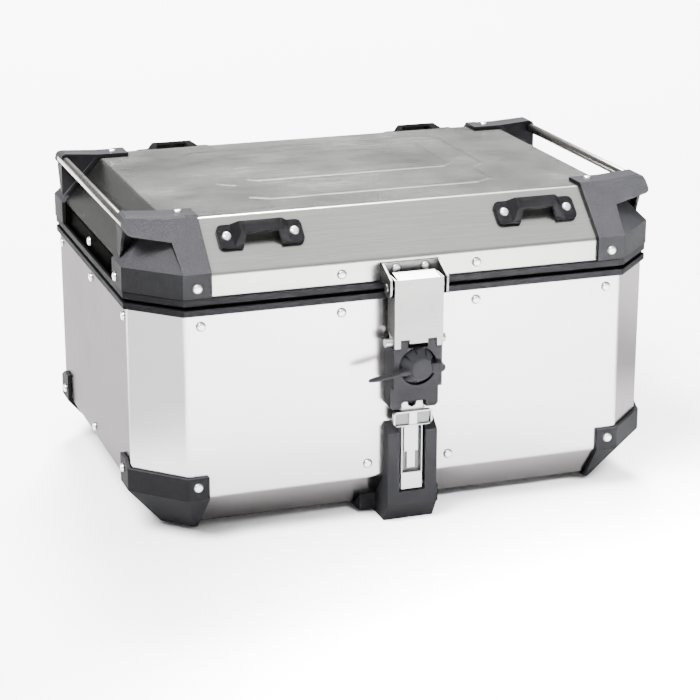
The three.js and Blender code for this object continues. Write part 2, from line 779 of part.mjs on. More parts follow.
// ---------------------------------------------------------------- dust cap of the keyhole
const dome = [
  [0, 20.2],
  [19.2, 20.2],
  [19.2, 21.6],
  [14.4, 28.6],
  [12, 33],
  [11.4, 37.4],
  [10.2, 38.6],
  [0, 38.6],
];
const capZ = lock.centreZ;
const strap = { low: 167, high: 176.5, back: 31.6, front: 34.4, fold: 20.2, end: 26.6 };
const capStrap = box([9, out(strap.front), strap.low], [strap.fold - GAP, out(strap.back), strap.high]);
const tabNeck = hull(
  [-10, -24].flatMap((x) =>
    [31.2, 34].flatMap((s) => [168, 171.4].map((z) => v(x, out(s), z + (x + 10) / 10))),
  ),
);
const leafPoints = [
  [-22, 31.2],
  [-22, 34.2],
  [-31, 35],
  [-45, 33.6],
  [-53, 30],
  [-53, 27],
  [-45, 24.4],
  [-31, 26.6],
];
const pullTab = hull(
  leafPoints.flatMap(([x, s]) => [0, 2.4].map((thick) => v(x, out(s), 166.8 + thick + (x + 22) * 0.14))),
);
// Radial grooves that part the skirt into lobes.
const LOBES = 9;
const grooves = Array.from({ length: LOBES }, (_, i) =>
  box([12.9, out(30), -0.7], [20, out(21.4), 0.7])
    .rotate([0, (360 * (i + 0.5)) / LOBES, 0])
    .translate([0, 0, capZ]),
);
const capBody = cut(turnedY(dome, 0, front, capZ, 36), ...grooves);
add("dust_cap", join(capBody, capStrap, tabNeck, pullTab), rubber());
// The anchor's outer end is a half circle as wide as the strap.
const anchorRound = (strap.high - strap.low) / 2;
const anchorArc = Array.from({ length: 9 }, (_, i) => {
  const turn = ((i - 4) * Math.PI) / 8;
  const x = strap.end - anchorRound + anchorRound * Math.cos(turn);
  return [x, strap.low + anchorRound + anchorRound * Math.sin(turn)];
});
const anchorOutline = [[strap.fold, strap.low], ...anchorArc, [strap.fold, strap.high]];
add("dust_cap_anchor", prismY(anchorOutline, out(strap.front), out(lock.stand + GAP)), rubber());

// ---------------------------------------------------------------- release lever and its housing
const leverLine = (radius, reach) =>
  rod(
    radius,
    [-reach, out(lever.pivotStand), lever.pivotZ],
    [reach, out(lever.pivotStand), lever.pivotZ],
    16,
  );
// The stem is a tray: two side walls, and a raised panel that narrows towards the pivot.
const stem = box([-lever.halfWidth, out(11), lever.pivotZ - 4], [lever.halfWidth, out(3), 122]);
const tray = cut(
  box([-10.2, out(12), 54], [10.2, out(6), 104]),
  box([-7.6, out(8.4), 76], [7.6, out(5), 105]),
  box([-4.4, out(8.4), 58], [4.4, out(5), 77]),
);
const fork = prismY(
  [
    [-12, 120],
    [12, 120],
    [12, lever.top],
    [5, lever.top],
    [4, lever.top - 4],
    [0, lever.top - 6],
    [-4, lever.top - 4],
    [-5, lever.top],
    [-12, lever.top],
  ],
  out(10),
  out(5),
);
const head = prismY(
  [
    [-lever.headHalf + 3, 105.6],
    [lever.headHalf - 3, 105.6],
    [lever.headHalf, 109],
    [lever.headHalf, 119],
    [lever.headHalf - 2.5, 121.3],
    [-lever.headHalf + 2.5, 121.3],
    [-lever.headHalf, 119],
    [-lever.headHalf, 109],
  ],
  out(14),
  out(8.6),
);
// Shallow pockets on both sides of the head's middle rib.
const headPockets = [-1, 1].map((flip) => {
  const [low, high] = [flip * 4.2, flip * (lever.headHalf - 2)].sort((a, b) => a - b);
  return box([low, out(15), 106.8], [high, out(12.4), 119.6]);
});
add(
  "release_lever",
  cut(join(stem, fork, head), tray, ...headPockets, leverLine(2.3, FAR)),
  zinc(),
);
add("lever_pin", leverLine(2, 23), stainless());

const housingFront = out(housing.stand);
const housingBack = out(GAP);
const block = hull(
  [-housing.halfWidth, housing.halfWidth].flatMap((x) => [
    v(x, housingBack, 109),
    v(x, housingFront, housing.shoulder),
    v(x, housingFront, 19),
    v(x, out(1), 0),
    v(x, rack.front - 0.5, 0),
    v(x, rack.front - 0.5, 12),
    v(x, housingBack, 50),
  ]),
);
// y of the flare's outer face at a height.
const flareY = (z) => front + (shell.bottom + flare.height - z) * flareSlope;
// Foot under the flare, wider than the housing, with a sloping gusset on each side up to it.
const wing = { half: 43.5, end: 48, face: -179.5, back: -155, low: 3, high: 24, ridge: 41 };
const wingBlock = hull(
  [-1, 1].flatMap((flip) => [
    ...[wing.low, wing.high].map((z) => v(flip * wing.half, wing.face, z)),
    ...[wing.low + 4, wing.high - 6].map((z) => v(flip * wing.end, wing.back - 8, z)),
    ...[wing.low + 4, wing.high - 8].map((z) => v(flip * wing.end, wing.back, z)),
    v(flip * housing.halfWidth, wing.back, wing.low),
  ]),
);
const gussets = [-1, 1].map((flip) =>
  hull([
    ...[wing.face, wing.face + 6].map((y) => v(flip * (wing.half + 1), y, wing.high - 1)),
    ...[wing.face, wing.face + 6].map((y) => v(flip * (housing.halfWidth - 2), y, wing.high - 1)),
    v(flip * (housing.halfWidth - 2), flareY(wing.ridge) + 1, wing.ridge),
    v(flip * (housing.halfWidth + 1), flareY(wing.ridge) + 1, wing.ridge),
  ]),
);
const slotCut = box([-housing.slot, out(housing.stand + 1), housing.slotBottom], [housing.slot, 0, FAR]);
const rackCatch = { half: 14, arm: 8, front: -194, hookFront: -169, back: -153, low: 1, high: 7.5 };
const catchChannel = box(
  [-rackCatch.arm - 1, rackCatch.front - 1, -1],
  [rackCatch.arm + 1, rack.front + 1, rackCatch.high + GAP],
);
const tongueRoom = box(
  [-rack.tongue - GAP, rack.front - GAP, -1],
  [rack.tongue + GAP, wing.back + 1, rack.thick + GAP],
);
add(
  "lever_housing",
  cut(join(block, wingBlock, ...gussets), tubClear, slotCut, leverLine(2.3, 23.4), catchChannel, tongueRoom),
  nylon(),
);

// Leaf spring behind the lever, which presses it shut.
add(
  "lever_spring",
  prismX(
    [
      [out(0.5), 58],
      [out(1.1), 58],
      [out(2.6), 80],
      [out(1.1), 102],
      [out(0.5), 102],
      [out(2), 80],
    ],
    -5,
    5,
  ),
  stainless(),
);

// ---------------------------------------------------------------- rack plate and catch
const window = { half: 16, front: rack.front - 1, back: -140 };
const receiver = { inner: 48, outer: 78, front: 88, back: 112 };
const receivers = [-1, 1].map((flip) => {
  const [low, high] = [flip * receiver.inner, flip * receiver.outer].sort((a, b) => a - b);
  return box([low, receiver.front, -1], [high, receiver.back, rack.thick - 2.5]);
});
// A wide plate with a narrow tongue that runs forward to the housing.
const rackOutline = [
  [-rack.tongue, rack.front],
  [rack.tongue, rack.front],
  [rack.tongue, rack.wide],
  [rack.halfWidth - rack.corner, rack.wide],
  [rack.halfWidth, rack.wide + rack.corner],
  [rack.halfWidth, rack.back - rack.corner],
  [rack.halfWidth - rack.corner, rack.back],
  [-rack.halfWidth + rack.corner, rack.back],
  [-rack.halfWidth, rack.back - rack.corner],
  [-rack.halfWidth, rack.wide + rack.corner],
  [-rack.halfWidth + rack.corner, rack.wide],
  [-rack.tongue, rack.wide],
];
add(
  "rack_plate",
  cut(
    prismZ(rackOutline, 0, rack.thick),
    box([-window.half, window.front, -1], [window.half, window.back, rackCatch.high + GAP]),
    ...receivers,
  ),
  nylon(),
);
add(
  "rack_catch",
  join(
    box(
      [-rackCatch.arm, rackCatch.front, rackCatch.low + 2],
      [rackCatch.arm, rackCatch.hookFront + 1, rackCatch.high],
    ),
    prismX(
      [
        [rackCatch.hookFront, rackCatch.low],
        [rackCatch.back - 6, rackCatch.low],
        [rackCatch.back, rackCatch.low + 3],
        [rackCatch.back, rackCatch.high],
        [rackCatch.hookFront, rackCatch.high],
      ],
      -rackCatch.half,
      rackCatch.half,
    ),
  ),
  zinc(),
);

// ---------------------------------------------------------------- plates inside the tub
const backing = 1.5;
const wallInside = front + shell.sheet + GAP;
add("lock_backing_plate", box([-28, wallInside, 62], [28, wallInside + backing, 186]), zinc());
add("rack_backing_plate", box([-88, -125, floorZ + GAP], [88, 125, floorZ + GAP + backing]), zinc());

// ---------------------------------------------------------------- lid stays
// A webbing strap on each side, folded away towards the hinges while the lid is shut.
const stay = { inner: 250, outer: 266, y: 20, fold: 76, low: 236.4, high: 256.2, web: 2.2 };
const anchorHalf = 9;
const thick = 1.5;
const anchor = (z, rise) => {
  const wall = side - seam.lip - GAP;
  const [low, high] = [z, z + rise].sort((a, b) => a - b);
  return join(
    box([-wall, stay.y - anchorHalf, low], [thick - wall, stay.y + anchorHalf, high]),
    box([-wall, stay.y - anchorHalf, z - thick / 2], [-stay.inner, stay.y + anchorHalf, z + thick / 2]),
  );
};
addPair("stay_anchor_tub", anchor(stay.low - 1.2, -6), stainless);
addPair("stay_anchor_lid", anchor(stay.high + 1.2, 6), stainless);
const foldZ = (stay.low + stay.high) / 2;
addPair(
  "lid_stay",
  prismX(
    [
      [stay.y - anchorHalf, stay.low],
      [stay.y + anchorHalf, stay.low],
      [stay.fold, foldZ - stay.web],
      [stay.fold, foldZ + stay.web],
      [stay.y + anchorHalf, stay.high],
      [stay.y - anchorHalf, stay.high],
      [stay.y - anchorHalf, stay.high - stay.web],
      [stay.y + anchorHalf - 1, stay.high - stay.web],
      [stay.fold - 8, foldZ],
      [stay.y + anchorHalf - 1, stay.low + stay.web],
      [stay.y - anchorHalf, stay.low + stay.web],
    ],
    -stay.outer,
    -stay.inner,
  ),
  webbing,
);

// ---------------------------------------------------------------- rivets
const rivetProfile = [
  [0, 0],
  [rivet.radius, 0],
  [rivet.radius, 0.7],
  [rivet.radius * 0.72, 1.9],
  [0, rivet.height],
];
const rivetAt = (name, x, stand, z) => add(name, turnedY(rivetProfile, x, out(stand + GAP), z, 14), zinc());
const rivets = {
  tub_top: { z: 228.7, xs: [-216.9, -72, 72, 216.9], stand: 0 },
  tub_low: { z: 64.9, xs: [-44, 44], stand: 0 },
  lid_front: { z: 268.1, xs: [-71.8, 71.8], stand: 0 },
  bracket: { z: 270.4, xs: [-15.5, 15.5], stand: GAP + 2 },
};
for (const [row, { z, xs, stand }] of Object.entries(rivets)) {
  xs.forEach((x, i) => rivetAt(`rivet_${row}_${i + 1}`, x, stand, z));
}
// One rivet through the side face of each front corner protector.
const sideRivet = { y: -139.5, z: 66.5 };
const sideHead = turnedY(rivetProfile, 0, 0, 0, 14).rotate([0, 0, -90]);
addPair("rivet_guard_side", sideHead.translate([-side - skin - GAP, sideRivet.y, sideRivet.z]), zinc);

export default root;
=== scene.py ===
import json
import math

import bmesh
import bpy
from mathutils import Matrix, Vector

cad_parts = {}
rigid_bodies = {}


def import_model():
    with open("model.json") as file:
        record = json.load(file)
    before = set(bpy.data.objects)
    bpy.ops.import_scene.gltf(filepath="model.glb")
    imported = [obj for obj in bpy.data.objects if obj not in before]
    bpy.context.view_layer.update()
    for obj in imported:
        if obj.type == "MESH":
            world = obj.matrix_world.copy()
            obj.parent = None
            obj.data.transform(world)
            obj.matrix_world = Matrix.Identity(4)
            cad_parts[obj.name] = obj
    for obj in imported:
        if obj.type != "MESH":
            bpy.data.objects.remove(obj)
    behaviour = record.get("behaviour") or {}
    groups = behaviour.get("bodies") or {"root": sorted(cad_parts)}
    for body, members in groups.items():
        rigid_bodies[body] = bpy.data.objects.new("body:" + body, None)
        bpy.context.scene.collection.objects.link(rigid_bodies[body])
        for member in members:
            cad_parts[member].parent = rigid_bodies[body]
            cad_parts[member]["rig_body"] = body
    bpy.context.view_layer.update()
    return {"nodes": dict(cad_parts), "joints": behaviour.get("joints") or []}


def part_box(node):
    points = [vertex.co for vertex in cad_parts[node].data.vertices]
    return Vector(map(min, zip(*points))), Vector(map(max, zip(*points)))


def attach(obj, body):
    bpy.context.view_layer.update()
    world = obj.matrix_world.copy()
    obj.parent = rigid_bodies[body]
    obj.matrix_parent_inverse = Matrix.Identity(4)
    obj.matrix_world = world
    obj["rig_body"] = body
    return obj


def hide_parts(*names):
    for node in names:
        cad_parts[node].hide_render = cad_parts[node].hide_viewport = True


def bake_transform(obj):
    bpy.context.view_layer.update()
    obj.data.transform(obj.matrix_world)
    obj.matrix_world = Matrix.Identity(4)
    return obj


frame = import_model()

# Aluminium motorcycle top case. Lengths are in metres, in the part's own frame: +X right, +Y back, +Z up.
MM = 0.001

# ---------------------------------------------------------------- sizes read from the CAD frame
shell_low, shell_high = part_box("base_shell")
lid_low, lid_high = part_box("lid_shell")
FRONT, REAR = shell_low.y, shell_high.y
SIDE = shell_high.x
LID_TOP = lid_high.z
BAND_TOP = 0.2812  # where the lid's upright band ends and its slopes start
TOP_HALF_Y = 0.1563  # half the depth of the lid's flat top
HINGE = next(Vector(j["pos_m"]) for j in frame["joints"] if j["name"] == "lid_hinge")
SLOPE_UP = Vector((0, -FRONT - TOP_HALF_Y, LID_TOP - BAND_TOP)).normalized()
SLOPE_OUT = Vector((0, -SLOPE_UP.z, SLOPE_UP.y))
LOOP_X, LOOP_RIVET = 0.147, 0.0347  # a tie-down loop's middle, and its rivets' distance to each side of it
LOOP_UP_FRONT, LOOP_UP_REAR = 0.0386, 0.046  # how far up the slope the loops' middles lie
LOOP_PLATE = 0.004  # height of a loop's foot over the slope


# ---------------------------------------------------------------- material graphs
class Graph:
    """A material's node tree, with short calls for the nodes that the recipes below use."""

    def __init__(self, name):
        self.material = bpy.data.materials.new(name)
        self.material.use_nodes = True
        self.tree = self.material.node_tree
        self.bsdf = self.tree.nodes["Principled BSDF"]
        coordinates = self.add("ShaderNodeTexCoord").outputs
        self.place, self.facing = coordinates["Object"], coordinates["Normal"]

    def add(self, kind, inputs=None, **settings):
        node = self.tree.nodes.new(kind)
        for key, value in settings.items():
            setattr(node, key, value)
        for key, value in (inputs or {}).items():
            self.put(node.inputs[key], value)
        return node

    def put(self, socket, value):
        if isinstance(value, bpy.types.NodeSocket):
            self.tree.links.new(value, socket)
        else:
            socket.default_value = value

    def noise(self, scale, stretch=(1, 1, 1), detail=3, rough=0.55):
        mapping = self.add("ShaderNodeMapping", {"Vector": self.place, "Scale": stretch})
        inputs = {"Vector": mapping.outputs[0], "Scale": scale, "Detail": detail, "Roughness": rough}
        return self.add("ShaderNodeTexNoise", inputs).outputs["Fac"]

    def cells(self, scale, feature="F1"):
        inputs = {"Vector": self.place, "Scale": scale}
        return self.add("ShaderNodeTexVoronoi", inputs, feature=feature).outputs["Distance"]

    def span(self, value, low, high, start=0.3, end=0.7):
        inputs = {0: value, 1: start, 2: end, 3: low, 4: high}
        return self.add("ShaderNodeMapRange", inputs, clamp=True).outputs[0]

    def math(self, operation, a, b=0.0):
        return self.add("ShaderNodeMath", {0: a, 1: b}, operation=operation).outputs[0]

    def tint(self, factor, low, high):
        mix = self.add("ShaderNodeMix", data_type="RGBA")
        self.put(mix.inputs[0], factor)
        self.put(mix.inputs[6], (*low, 1))
        self.put(mix.inputs[7], (*high, 1))
        return mix.outputs[2]

    def crevice_shade(self, distance, floor):
        """Painted shade: 1 on open faces, falling to floor where other faces stand close."""
        shade = self.add("ShaderNodeAmbientOcclusion", {"Distance": distance}, samples=6)
        return self.span(shade.outputs["AO"], floor, 1.0, 0.0, 1.0)

    def darkened(self, color, factor):
        return self.add("ShaderNodeVectorMath", {0: color, 1: factor}, operation="MULTIPLY").outputs[0]

    def bump(self, height, strength, distance, below=None):
        inputs = {"Height": height, "Strength": strength, "Distance": distance}
        if below is not None:
            inputs["Normal"] = below
        return self.add("ShaderNodeBump", inputs).outputs[0]

    def shade(self, **inputs):
        for key, value in inputs.items():
            self.put(self.bsdf.inputs[key.replace("_", " ")], value)
        return self.material


def scaled(color, factor):
    return tuple(c * factor for c in color)


def sheet_metal(name, color, rough, grain=(1, 1, 1), grain_scale=900, streak=0.03, brushed=0.0, downward_shade=1.0,
                 side_shade=1.0, top_highlight=1.0, crevice_shade=0.5, recess_shade=1.0, edge_tint=1.0):
    """Satin metal: directional grain, handling marks, and painted shade in corners and on faces turned down.

    brushed is the strength of the long rolling streaks and edge_tint the reflectance at a glancing angle. The rest are
    tones of painted light and shade: downward_shade of faces turned down, side_shade of faces turned left or right
    (which also lowers their glancing reflectance), top_highlight of faces turned up, crevice_shade of closed-in places
    and recess_shade of the floors of recesses.
    """
    g = Graph(name)
    fine = g.noise(grain_scale, grain, 4, 0.7)
    rolled = g.noise(520, (0.035, 1, 1), 4, 0.65)
    marks = g.noise(9, (1, 1, 1.6), 5, 0.6)
    cloud = g.noise(2.6, (1, 1, 1), 2, 0.5)
    recess_shade_mask = g.add("ShaderNodeAttribute", attribute_name="recess_shade").outputs["Fac"]
    turned = g.add("ShaderNodeSeparateXYZ", {0: g.facing}).outputs
    sideways = g.math("ABSOLUTE", turned["X"])
    roughness = g.math("ADD", g.span(marks, rough - streak, rough + streak), g.span(fine, -0.025, 0.025))
    roughness = g.math("ADD", roughness, g.span(rolled, -0.3 * brushed, 0.3 * brushed))
    body = g.tint(g.span(cloud, 0, 1), scaled(color, 0.965), color)
    # Painted shade in closed-in places, from ambient occlusion.
    # Painted shade on faces turned down, standing for the shadowed floor that they mirror.
    shade = g.math("MULTIPLY", g.crevice_shade(0.045, crevice_shade), g.span(turned["Z"], downward_shade, 1.0, -0.6, -0.3))
    # Painted shade on faces turned left or right: darker colour and darker glancing reflectance.
    beside = g.span(sideways, 1.0, side_shade, 0.8, 0.97)
    # Painted highlight: faces turned up are coloured lighter.
    shade = g.math("MULTIPLY", shade, g.math("MULTIPLY", beside, g.span(turned["Z"], 1.0, top_highlight, 0.8, 0.95)))
    # Painted shade: the marked floors of recesses are coloured darker.
    shade = g.math("MULTIPLY", shade, g.span(recess_shade_mask, 1.0, recess_shade, 0.0, 1.0))
    shade = g.math("MULTIPLY", shade, g.span(rolled, 1.0 - brushed, 1.0 + brushed))
    normal = g.bump(fine, 0.02, 0.00012, g.bump(rolled, brushed, 0.00010))
    return g.shade(Base_Color=g.darkened(body, shade), Metallic=1.0, Roughness=roughness,
                   Normal=normal, Specular_Tint=g.math("MULTIPLY", beside, edge_tint))


def moulded(name, color, rough, spec=0.2, grain_scale=1500, relief=0.35, dust_and_top_light=1.0):
    """Moulded nylon or rubber: pitted tool texture, uneven gloss, painted shade in closed-in places, and faces turned
    up lighter, from a dusty film and from painted top light.
    """
    g = Graph(name)
    turned = g.add("ShaderNodeSeparateXYZ", {0: g.facing}).outputs["Z"]
    # Faces turned up are lighter: partly a dusty film, partly painted top light.
    # Painted shade in closed-in places, from ambient occlusion.
    shade = g.math("MULTIPLY", g.crevice_shade(0.02, 0.6), g.span(turned, 1.0, dust_and_top_light, 0.15, 0.65))
    pits = g.cells(grain_scale)
    fine = g.noise(grain_scale * 0.8, (1, 1, 1), 4, 0.65)
    gloss = g.noise(14, (1, 1, 1), 4, 0.6)
    roughness = g.span(gloss, rough - 0.06, rough + 0.06)
    body = g.tint(g.span(fine, 0, 1), scaled(color, 0.8), scaled(color, 1.15))
    normal = g.bump(fine, relief * 0.6, 0.00015, g.bump(pits, relief, 0.0002))
    return g.shade(Base_Color=g.darkened(body, shade), Roughness=roughness, Specular_IOR_Level=spec,
                   Normal=normal)


def woven(name, color):
    """Flat polyester webbing: a plain weave about 1.2 mm across each thread."""
    g = Graph(name)
    warp = g.add("ShaderNodeTexWave", {"Vector": g.place, "Scale": 260.0, "Distortion": 0.6},
                 bands_direction="X").outputs["Fac"]
    weft = g.add("ShaderNodeTexWave", {"Vector": g.place, "Scale": 260.0, "Distortion": 0.6},
                 bands_direction="DIAGONAL").outputs["Fac"]
    weave = g.math("MULTIPLY", warp, weft)
    fuzz = g.noise(2600, (1, 1, 1), 4, 0.7)
    body = g.tint(g.span(weave, 0, 1, 0.1, 0.9), scaled(color, 0.5), scaled(color, 1.5))
    normal = g.bump(fuzz, 0.3, 0.0002, g.bump(weave, 0.8, 0.0004))
    return g.shade(Base_Color=body, Roughness=g.span(fuzz, 0.78, 0.92), Specular_IOR_Level=0.15, Normal=normal,
                   Sheen_Weight=0.15)


def rivet_head(name, color, rough):
    """Bright pressed rivet head with a fine turned grain and a dark ring of painted shade round its foot."""
    g = Graph(name)
    fine = g.noise(1800, (1, 1, 1), 4, 0.7)
    dents = g.noise(260, (1, 1, 1), 2, 0.5)
    foot_shade = g.add("ShaderNodeAttribute", attribute_name="foot_shade").outputs["Fac"]
    body = g.tint(g.span(dents, 0, 1), scaled(color, 0.93), color)
    # Painted shade: the head's foot and flange turn dark and non-metallic.
    tone = g.add("ShaderNodeMix", data_type="RGBA")
    g.put(tone.inputs[0], foot_shade)
    g.put(tone.inputs[6], body)
    g.put(tone.inputs[7], (0.02, 0.02, 0.021, 1))
    normal = g.bump(fine, 0.12, 0.0001, g.bump(dents, 0.2, 0.0003))
    return g.shade(Base_Color=tone.outputs[2], Metallic=g.math("SUBTRACT", 1.0, foot_shade),
                   Roughness=g.span(fine, rough - 0.04, rough + 0.04), Normal=normal)


def knurled(name, color, rough):
    """Matt moulded rubber with a fine diamond pattern pressed into its front faces; the pattern's ridges are painted
    lighter and its grooves darker, as light and shade.
    """
    g = Graph(name)
    waves = []
    for slant in (1.0, -1.0):
        axes = g.add("ShaderNodeSeparateXYZ", {0: g.place})
        mixed = g.math("ADD", axes.outputs["X"], g.math("MULTIPLY", axes.outputs["Z"], slant))
        waves.append(g.math("SINE", g.math("MULTIPLY", mixed, 3000.0)))
    diamonds = g.math("MULTIPLY", waves[0], waves[1])
    facing = g.add("ShaderNodeSeparateXYZ", {0: g.add("ShaderNodeNewGeometry").outputs["Normal"]})
    front = g.span(facing.outputs["Y"], 1, 0, -0.98, -0.9)
    height = g.math("MULTIPLY", diamonds, front)
    fine = g.noise(1400, (1, 1, 1), 4, 0.65)
    body = g.tint(g.span(fine, 0, 1), scaled(color, 0.8), scaled(color, 1.2))
    # Painted light and shade: colour follows the diamonds' height, lighter on ridges and darker in grooves.
    body = g.darkened(body, g.span(height, 0.55, 1.45, -0.8, 0.8))
    normal = g.bump(fine, 0.3, 0.00015, g.bump(height, 0.7, 0.0004))
    return g.shade(Base_Color=body, Roughness=g.span(fine, rough - 0.05, rough + 0.05), Specular_IOR_Level=0.012,
                   Normal=normal)


BLACK = (0.0115, 0.0114, 0.0125)
MATERIALS = {
    # Painted light: tub and lid are one aluminium, but the tub's tone is set lighter and pinker for its brightly lit
    # front, and the lid's darker and greener.
    "base_shell": sheet_metal("base_shell", (0.44, 0.421, 0.424), 0.20, brushed=0.02, downward_shade=0.6, crevice_shade=0.75,
                              edge_tint=0.18),
    "lid_shell": sheet_metal("lid_shell", (0.245, 0.247, 0.234), 0.24, brushed=0.07, side_shade=0.12,
                             crevice_shade=0.6, edge_tint=0.8),
    "rim_nylon": moulded("rim_nylon", scaled(BLACK, 0.4), 0.52, 0.008),
    "corner_nylon": moulded("corner_nylon", scaled(BLACK, 0.6), 0.50, 0.012, 700, 0.6, dust_and_top_light=3.5),
    "loop_nylon": moulded("loop_nylon", scaled(BLACK, 0.35), 0.56, 0.012, dust_and_top_light=1.3),
    "lock_nylon": moulded("lock_nylon", scaled(BLACK, 0.75), 0.54, 0.012),
    "rail_metal": sheet_metal("rail_metal", (0.21, 0.203, 0.19), 0.28, (1, 0.04, 1), 1500),
    "rivet_metal": rivet_head("rivet_metal", (0.66, 0.655, 0.65), 0.30),
    "latch_steel": sheet_metal("latch_steel", (0.15, 0.15, 0.148), 0.42, (1, 1, 0.03), 2200, 0.05, brushed=0.08,
                               top_highlight=4.0, edge_tint=0.15),
    "hinge_steel": sheet_metal("hinge_steel", (0.34, 0.34, 0.336), 0.32, (0.05, 1, 1), 2000, 0.05),
    "cylinder_steel": sheet_metal("cylinder_steel", (0.74, 0.73, 0.71), 0.18, (1, 1, 1), 2400, 0.04),
    "zinc_steel": sheet_metal("zinc_steel", (0.36, 0.362, 0.362), 0.34, (1, 1, 1), 1600, 0.06, recess_shade=0.12),
    "cap_rubber": knurled("cap_rubber", scaled(BLACK, 0.95), 0.58),
    "seal_rubber": moulded("seal_rubber", scaled(BLACK, 0.5), 0.75, 0.12, 900, 0.7),
    "stay_webbing": woven("stay_webbing", (0.016, 0.016, 0.018)),
}

# ---------------------------------------------------------------- finish copies of the CAD nodes
SHARP = math.radians(23.5)  # edges that bend more than this are folds, not facets of a round surface
FLAT = math.radians(0.5)


def rounded_edges(obj, width, segments):
    """Rounds the edges of an object that carry a bevel weight."""
    bevel = obj.modifiers.new("bevel", "BEVEL")
    bevel.limit_method = "WEIGHT"
    bevel.width = width
    bevel.segments = segments
    bevel.use_clamp_overlap = True
    bevel.miter_outer = "MITER_ARC"


def new_object(name, bm, body, slot_name):
    mesh = bpy.data.meshes.new(name)
    bm.to_mesh(mesh)
    bm.free()
    obj = bpy.data.objects.new(name, mesh)
    bpy.context.scene.collection.objects.link(obj)
    mesh.materials.append(MATERIALS[slot_name])
    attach(obj, body)
    return obj


NODE_BODY = {node: obj["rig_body"] for node, obj in frame["nodes"].items()}
NODE_SLOT = {node: obj.data.materials[0].name for node, obj in frame["nodes"].items()}
RINGS = ("base_shell", "lid_shell", "lower_rim", "upper_rim")  # their ring-shaped faces are split at X = 0 and Y = 0
BROAD_FACE = 0.0016  # square metres; folds between faces this broad get the full bend radius
WELD = 1e-6  # vertices closer than this are one

# Floors of recesses that are painted darker, as shade: how far out from the front panel each lies, in metres.
SUNK_FLOORS = {"release_lever": (0.006, 0.0124)}
FLOOR_MARGIN = 0.0003


def mark_shaded_floors(bm, depths):
    recess_shade = bm.faces.layers.float.new("recess_shade")
    for face in bm.faces:
        outward = FRONT - face.calc_center_median().y
        on_floor = any(abs(outward - depth) < FLOOR_MARGIN for depth in depths)
        # Painted shade: faces on these floors are marked to be coloured darker.
        face[recess_shade] = 1.0 if on_floor and face.normal.y < -0.9 else 0.0


def finish_copy(node, width, segments, small):
    """A copy of a CAD node with its sharp edges rounded: width at broad folds, small times that elsewhere."""
    bm = bmesh.new()
    bm.from_mesh(frame["nodes"][node].data)
    bmesh.ops.remove_doubles(bm, verts=bm.verts, dist=WELD)
    if node in RINGS:
        for across in ((1, 0, 0), (0, 1, 0)):
            geometry = [*bm.verts, *bm.edges, *bm.faces]
            cut = bmesh.ops.bisect_plane(bm, geom=geometry, plane_co=(0, 0, 0), plane_no=across)["geom_cut"]
            for edge in cut:
                if isinstance(edge, bmesh.types.BMEdge):
                    edge.seam = True
    bmesh.ops.dissolve_limit(bm, angle_limit=FLAT, verts=bm.verts, edges=bm.edges, delimit={"SEAM"})
    weight = bm.edges.layers.float.new("bevel_weight_edge")
    for edge in bm.edges:
        if len(edge.link_faces) == 2 and edge.calc_face_angle(0) > SHARP:
            broad = min(face.calc_area() for face in edge.link_faces) > BROAD_FACE
            edge[weight] = 1.0 if broad else small
    for face in bm.faces:
        soft = any(FLAT < edge.calc_face_angle(0) < SHARP for edge in face.edges)
        face.smooth = soft and face.calc_area() < BROAD_FACE
    if node in SUNK_FLOORS:
        mark_shaded_floors(bm, SUNK_FLOORS[node])
    obj = new_object(node + "_finish", bm, NODE_BODY[node], NODE_SLOT[node])
    rounded_edges(obj, width, segments)
    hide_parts(node)


FINISH = {  # bevel width in millimetres, segments, and the share of the width that narrow edges get
    "base_shell": (2.6, 4, 0.12),
    "lid_shell": (2.6, 4, 0.12),
    "lower_rim": (0.7, 3, 1),
    "upper_rim": (0.7, 3, 1),
    "corner_guard": (1.4, 3, 1),
    "lid_corner": (1.6, 3, 0.8),
    "tie_down_loop": (0.9, 3, 1),
    "lever_housing": (0.7, 3, 1),
    "lock_body": (0.7, 3, 1),
    "release_lever": (0.4, 2, 1),
    "latch_plate": (0.35, 2, 1),
    "rail": (0.3, 2, 1),
}
OTHER_FINISH = (0.3, 2, 1)
OWN_MODEL = ("rivet_", "lid_stay_")  # nodes that get a model of their own further down
for node in frame["nodes"]:
    if node.startswith(OWN_MODEL):
        continue
    width, segments, small = next((FINISH[key] for key in FINISH if node.startswith(key)), OTHER_FINISH)
    finish_copy(node, width * MM, segments, small)


# ---------------------------------------------------------------- rivets
RIVET_PROFILE = [(0.0, 1.0), (0.35, 0.985), (0.6, 0.93), (0.78, 0.82), (0.88, 0.64), (0.92, 0.4), (0.94, 0.12)]
RIVET_FLANGE = [(0.95, 0.08), (1.06, 0.07), (1.08, 0.03)]  # dark ring round the head, painted as the shade at its foot
RIVET_FOOT = 1.05  # radius of the head's closed underside, as a share of the head's
RIVET_SUNK = 0.0002  # how far the underside lies in the sheet
FOOT_SHADE_LEVEL = 0.1  # parts of the head lower than this share of its height are painted dark, as shade
TURNS = 28  # steps round a turned solid


def lathe(bm, profile, base, axis):
    """Adds a turned solid to bm: profile is (radius, height), height measured from base along axis."""
    turn = axis.to_track_quat("Z", "Y").to_matrix()
    rings = []
    for radius, height in profile:
        if radius < 1e-7:
            rings.append([bm.verts.new(base + turn @ Vector((0, 0, height)))])
            continue
        ring = []
        for i in range(TURNS):
            a = 2 * math.pi * i / TURNS
            ring.append(bm.verts.new(base + turn @ Vector((radius * math.cos(a), radius * math.sin(a), height))))
        rings.append(ring)
    for low, high in zip(rings, rings[1:]):
        for i in range(TURNS):
            j = (i + 1) % TURNS
            corners = [low[i % len(low)], high[i % len(high)], high[j % len(high)], low[j % len(low)]]
            bm.faces.new(list(dict.fromkeys(corners)))


